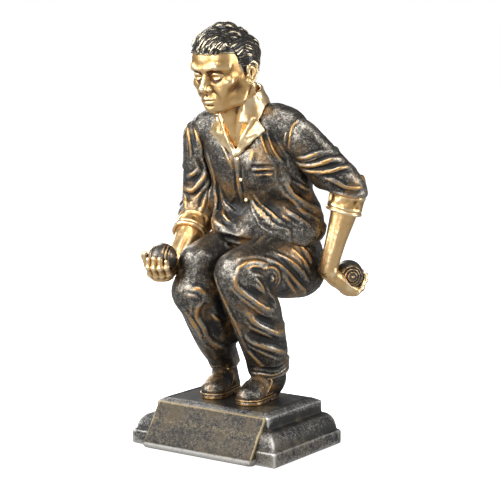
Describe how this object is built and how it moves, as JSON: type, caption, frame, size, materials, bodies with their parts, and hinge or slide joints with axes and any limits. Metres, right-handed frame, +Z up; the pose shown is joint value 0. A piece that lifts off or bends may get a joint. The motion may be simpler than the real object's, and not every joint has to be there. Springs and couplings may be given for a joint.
{
  "type": "figure trophy",
  "caption": "Figure trophy: a crouching boules player with a boule in each hand, in antique bronze and gunmetal resin, on a stepped plinth with a blank sloped panel.",
  "frame": {"origin": "centre of the underside, on the surface that the trophy stands on", "axes": "+Z up, -Y the front with the inscription panel, +X the figure's left"},
  "size_m": [0.1099, 0.1032, 0.2314],
  "materials": {
    "dark_resin": "cast resin, gunmetal patina dry-brushed in silver and gold",
    "gold_resin": "cast resin, antique gold with a brown wash",
    "hair_resin": "cast resin, black with pale gold dry-brushing",
    "boule_resin": "cast resin, dark with worn gold",
    "silver_resin": "cast resin, grained antique silver with worn edges",
    "steel": "drawn bar",
    "felt": "pressed felt"
  },
  "bodies": {
    "root": {"felt_pad": "felt", "plinth": "silver_resin", "inscription_panel": "silver_resin", "shoe_left": "dark_resin", "shoe_right": "dark_resin", "trousers": "dark_resin", "shirt_body": "dark_resin", "shirt_placket_buttons": "gold_resin", "shirt_collar": "gold_resin", "sleeve_left": "dark_resin", "sleeve_right": "dark_resin", "cuff_left": "gold_resin", "cuff_right": "gold_resin", "forearm_left": "gold_resin", "forearm_right": "gold_resin", "hand_left": "gold_resin", "hand_right": "gold_resin", "boule_left": "boule_resin", "boule_right": "boule_resin", "head": "gold_resin", "hair": "hair_resin", "leg_dowels": "steel", "waist_dowel": "steel", "neck_dowel": "steel", "arm_pins": "steel", "hand_pins": "steel"}
  },
  "joints": []
}
